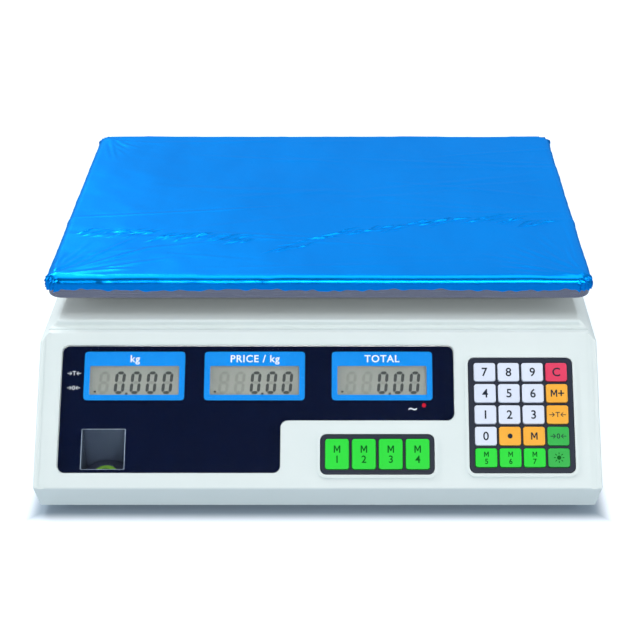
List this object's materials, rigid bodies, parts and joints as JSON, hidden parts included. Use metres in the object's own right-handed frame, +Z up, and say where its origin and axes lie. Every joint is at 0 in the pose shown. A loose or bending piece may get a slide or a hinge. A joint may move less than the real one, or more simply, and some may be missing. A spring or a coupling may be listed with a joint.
{
  "type": "retail price scale",
  "caption": "Counter-top price-computing scale: sloping housing with displays and keypads under a square weighing pan still in its blue protective film.",
  "frame": {"origin": "centre of the footprint, at the surface that the feet stand on", "axes": "+Z up, the keypad side faces -Y, +X to the operator's right"},
  "size_m": [0.345, 0.3334, 0.1205],
  "materials": {
    "housing_abs": "fine moulded satin",
    "pan_steel": "brushed sheet",
    "film_blue": "thin protective film",
    "carrier_black": "black powder coat",
    "rubber_black": "moulded",
    "cell_aluminium": "machined",
    "zinc_steel": "zinc plated",
    "window_acrylic": "clear sheet printed from behind",
    "lcd_glass": "reflective display",
    "board_green": "solder mask",
    "mat_rubber": "silicone",
    "vial_green": "clear with green liquid",
    "ring_dark": "moulded",
    "battery_case": "moulded",
    "core_steel": "laminated and varnished",
    "socket_black": "moulded",
    "rocker_black": "moulded",
    "frame_navy": "moulded",
    "key_pale": "printed",
    "key_red": "printed",
    "key_orange": "printed",
    "key_green": "printed",
    "key_bright_green": "printed"
  },
  "bodies": {
    "housing": {"upper_housing": "housing_abs", "base_housing": "housing_abs", "load_cell": "cell_aluminium", "load_cell_base_bolts": "zinc_steel", "chassis_plate": "zinc_steel", "overload_stop_screw": "zinc_steel", "front_display_window": "window_acrylic", "rear_display_window": "window_acrylic", "lcd_panels": "lcd_glass", "front_circuit_board": "board_green", "rear_circuit_board": "board_green", "keypad_mats": "mat_rubber", "level_vial": "vial_green", "level_vial_ring": "ring_dark", "battery": "battery_case", "transformer": "core_steel", "mains_inlet": "socket_black", "power_switch_body": "socket_black", "case_screws": "zinc_steel", "numeric_keypad_frame": "frame_navy", "memory_keypad_frame": "frame_navy"},
    "pan": {"platter": "pan_steel", "protective_film": "film_blue"},
    "weighing_carrier": {"platter_carrier": "carrier_black", "carrier_pads": "rubber_black", "load_cell_top_bolts": "zinc_steel"},
    "rocker": {"power_rocker": "rocker_black"},
    "battery_cover": {"battery_door": "housing_abs"},
    "foot_front_left": {"foot_pad_front_left": "rubber_black", "foot_stud_front_left": "zinc_steel"},
    "foot_front_right": {"foot_pad_front_right": "rubber_black", "foot_stud_front_right": "zinc_steel"},
    "foot_rear_left": {"foot_pad_rear_left": "rubber_black", "foot_stud_rear_left": "zinc_steel"},
    "foot_rear_right": {"foot_pad_rear_right": "rubber_black", "foot_stud_rear_right": "zinc_steel"},
    "button_7": {"key_7": "key_pale"},
    "button_8": {"key_8": "key_pale"},
    "button_9": {"key_9": "key_pale"},
    "button_clear": {"key_clear": "key_red"},
    "button_4": {"key_4": "key_pale"},
    "button_5": {"key_5": "key_pale"},
    "button_6": {"key_6": "key_pale"},
    "button_memory_plus": {"key_memory_plus": "key_orange"},
    "button_1": {"key_1": "key_pale"},
    "button_2": {"key_2": "key_pale"},
    "button_3": {"key_3": "key_pale"},
    "button_tare": {"key_tare": "key_orange"},
    "button_0": {"key_0": "key_pale"},
    "button_point": {"key_point": "key_orange"},
    "button_memory": {"key_memory": "key_orange"},
    "button_zero": {"key_zero": "key_green"},
    "button_m5": {"key_m5": "key_bright_green"},
    "button_m6": {"key_m6": "key_bright_green"},
    "button_m7": {"key_m7": "key_bright_green"},
    "button_light": {"key_light": "key_green"},
    "button_m1": {"key_m1": "key_bright_green"},
    "button_m2": {"key_m2": "key_bright_green"},
    "button_m3": {"key_m3": "key_bright_green"},
    "button_m4": {"key_m4": "key_bright_green"}
  },
  "joints": [
    {"name": "pan_lift", "type": "slide", "parent": "weighing_carrier", "child": "pan", "axis": [0, 0, 1], "range_m": [0, 0.035]},
    {"name": "weighing_travel", "type": "slide", "parent": "housing", "child": "weighing_carrier", "axis": [0, 0, -1], "range_m": [0, 0.0006], "stiffness_N_per_m": 400000, "springref_m": -0.00006, "deforming": ["load_cell"]},
    {"name": "rocker_tilt", "type": "hinge", "parent": "housing", "child": "rocker", "pos_m": [0.167, 0.104, 0.038], "axis": [0, 0, -1], "range_deg": [0, 16]},
    {"name": "battery_cover_slide", "type": "slide", "parent": "housing", "child": "battery_cover", "axis": [1, 0, 0], "range_m": [0, 0.074]},
    {"name": "level_front_left", "type": "slide", "parent": "housing", "child": "foot_front_left", "axis": [0, 0, -1], "range_m": [0, 0.005]},
    {"name": "level_front_right", "type": "slide", "parent": "housing", "child": "foot_front_right", "axis": [0, 0, -1], "range_m": [0, 0.005]},
    {"name": "level_rear_left", "type": "slide", "parent": "housing", "child": "foot_rear_left", "axis": [0, 0, -1], "range_m": [0, 0.005]},
    {"name": "level_rear_right", "type": "slide", "parent": "housing", "child": "foot_rear_right", "axis": [0, 0, -1], "range_m": [0, 0.005]},
    {"name": "press_7", "type": "slide", "parent": "housing", "child": "button_7", "axis": [0, 0.7254, -0.6884], "range_m": [0, 0.0012], "stiffness_N_per_m": 500},
    {"name": "press_8", "type": "slide", "parent": "housing", "child": "button_8", "axis": [0, 0.7254, -0.6884], "range_m": [0, 0.0012], "stiffness_N_per_m": 500},
    {"name": "press_9", "type": "slide", "parent": "housing", "child": "button_9", "axis": [0, 0.7254, -0.6884], "range_m": [0, 0.0012], "stiffness_N_per_m": 500},
    {"name": "press_clear", "type": "slide", "parent": "housing", "child": "button_clear", "axis": [0, 0.7254, -0.6884], "range_m": [0, 0.0012], "stiffness_N_per_m": 500},
    {"name": "press_4", "type": "slide", "parent": "housing", "child": "button_4", "axis": [0, 0.7254, -0.6884], "range_m": [0, 0.0012], "stiffness_N_per_m": 500},
    {"name": "press_5", "type": "slide", "parent": "housing", "child": "button_5", "axis": [0, 0.7254, -0.6884], "range_m": [0, 0.0012], "stiffness_N_per_m": 500},
    {"name": "press_6", "type": "slide", "parent": "housing", "child": "button_6", "axis": [0, 0.7254, -0.6884], "range_m": [0, 0.0012], "stiffness_N_per_m": 500},
    {"name": "press_memory_plus", "type": "slide", "parent": "housing", "child": "button_memory_plus", "axis": [0, 0.7254, -0.6884], "range_m": [0, 0.0012], "stiffness_N_per_m": 500},
    {"name": "press_1", "type": "slide", "parent": "housing", "child": "button_1", "axis": [0, 0.7254, -0.6884], "range_m": [0, 0.0012], "stiffness_N_per_m": 500},
    {"name": "press_2", "type": "slide", "parent": "housing", "child": "button_2", "axis": [0, 0.7254, -0.6884], "range_m": [0, 0.0012], "stiffness_N_per_m": 500},
    {"name": "press_3", "type": "slide", "parent": "housing", "child": "button_3", "axis": [0, 0.7254, -0.6884], "range_m": [0, 0.0012], "stiffness_N_per_m": 500},
    {"name": "press_tare", "type": "slide", "parent": "housing", "child": "button_tare", "axis": [0, 0.7254, -0.6884], "range_m": [0, 0.0012], "stiffness_N_per_m": 500},
    {"name": "press_0", "type": "slide", "parent": "housing", "child": "button_0", "axis": [0, 0.7254, -0.6884], "range_m": [0, 0.0012], "stiffness_N_per_m": 500},
    {"name": "press_point", "type": "slide", "parent": "housing", "child": "button_point", "axis": [0, 0.7254, -0.6884], "range_m": [0, 0.0012], "stiffness_N_per_m": 500},
    {"name": "press_memory", "type": "slide", "parent": "housing", "child": "button_memory", "axis": [0, 0.7254, -0.6884], "range_m": [0, 0.0012], "stiffness_N_per_m": 500},
    {"name": "press_zero", "type": "slide", "parent": "housing", "child": "button_zero", "axis": [0, 0.7254, -0.6884], "range_m": [0, 0.0012], "stiffness_N_per_m": 500},
    {"name": "press_m5", "type": "slide", "parent": "housing", "child": "button_m5", "axis": [0, 0.7254, -0.6884], "range_m": [0, 0.0012], "stiffness_N_per_m": 500},
    {"name": "press_m6", "type": "slide", "parent": "housing", "child": "button_m6", "axis": [0, 0.7254, -0.6884], "range_m": [0, 0.0012], "stiffness_N_per_m": 500},
    {"name": "press_m7", "type": "slide", "parent": "housing", "child": "button_m7", "axis": [0, 0.7254, -0.6884], "range_m": [0, 0.0012], "stiffness_N_per_m": 500},
    {"name": "press_light", "type": "slide", "parent": "housing", "child": "button_light", "axis": [0, 0.7254, -0.6884], "range_m": [0, 0.0012], "stiffness_N_per_m": 500},
    {"name": "press_m1", "type": "slide", "parent": "housing", "child": "button_m1", "axis": [0, 0.7254, -0.6884], "range_m": [0, 0.0012], "stiffness_N_per_m": 500},
    {"name": "press_m2", "type": "slide", "parent": "housing", "child": "button_m2", "axis": [0, 0.7254, -0.6884], "range_m": [0, 0.0012], "stiffness_N_per_m": 500},
    {"name": "press_m3", "type": "slide", "parent": "housing", "child": "button_m3", "axis": [0, 0.7254, -0.6884], "range_m": [0, 0.0012], "stiffness_N_per_m": 500},
    {"name": "press_m4", "type": "slide", "parent": "housing", "child": "button_m4", "axis": [0, 0.7254, -0.6884], "range_m": [0, 0.0012], "stiffness_N_per_m": 500}
  ]
}
